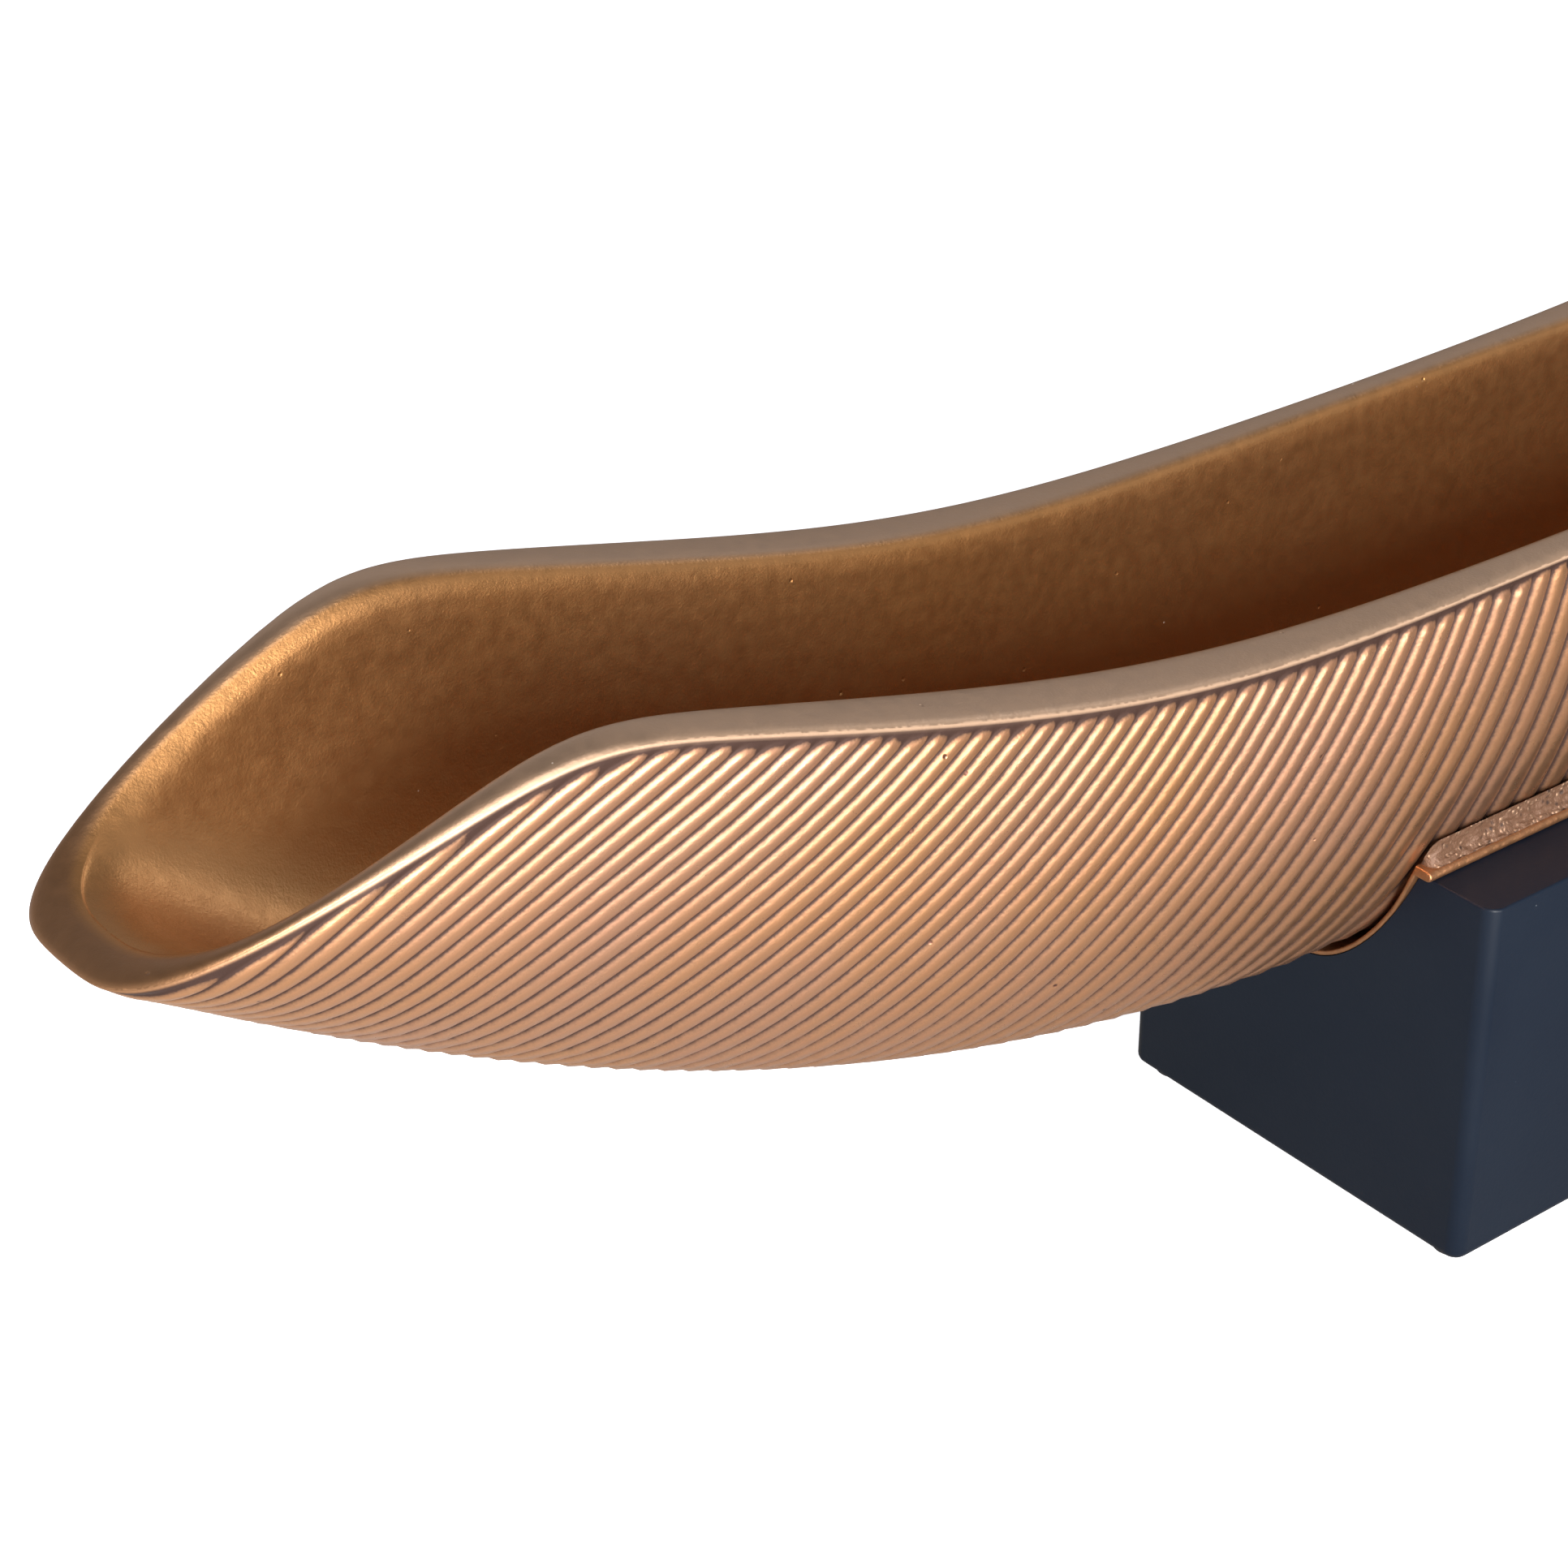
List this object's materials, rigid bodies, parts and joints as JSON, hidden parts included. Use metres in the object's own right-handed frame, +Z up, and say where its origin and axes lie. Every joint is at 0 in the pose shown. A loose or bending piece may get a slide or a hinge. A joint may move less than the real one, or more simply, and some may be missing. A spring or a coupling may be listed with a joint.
{
  "type": "centrepiece bowl",
  "caption": "Long narrow ribbed bowl with upswept ends and a broad smooth rim, seated in a saddle on a square plinth.",
  "frame": {"origin": "centre of the footprint, on the surface that the corner pads rest on", "axes": "+X along the bowl from tip to tip, +Y across it, +Z up"},
  "size_m": [0.76, 0.1124, 0.2189],
  "materials": {
    "ribbed_copper": "cast resin with a satin copper and bronze metallic lacquer",
    "saddle_copper": "cast saddle with the same satin copper lacquer",
    "filler_grit": "grainy filler, lacquered bronze brown",
    "plinth_lacquer": "satin blue-black lacquer over a cast block",
    "ballast_iron": "raw cast",
    "board_fibre": "raw fibreboard",
    "pad_rubber": "matt black",
    "fixing_steel": "zinc plated"
  },
  "bodies": {
    "root": {"bowl_shell": "ribbed_copper", "saddle_cradle": "saddle_copper", "filler_bead_front": "filler_grit", "filler_bead_back": "filler_grit", "plinth_casing": "plinth_lacquer", "ballast_block": "ballast_iron", "base_board": "board_fibre", "base_board_screws": "fixing_steel", "foot_pads": "pad_rubber", "mounting_bolts": "fixing_steel", "flat_washers": "fixing_steel", "spring_washers": "fixing_steel"}
  },
  "joints": []
}
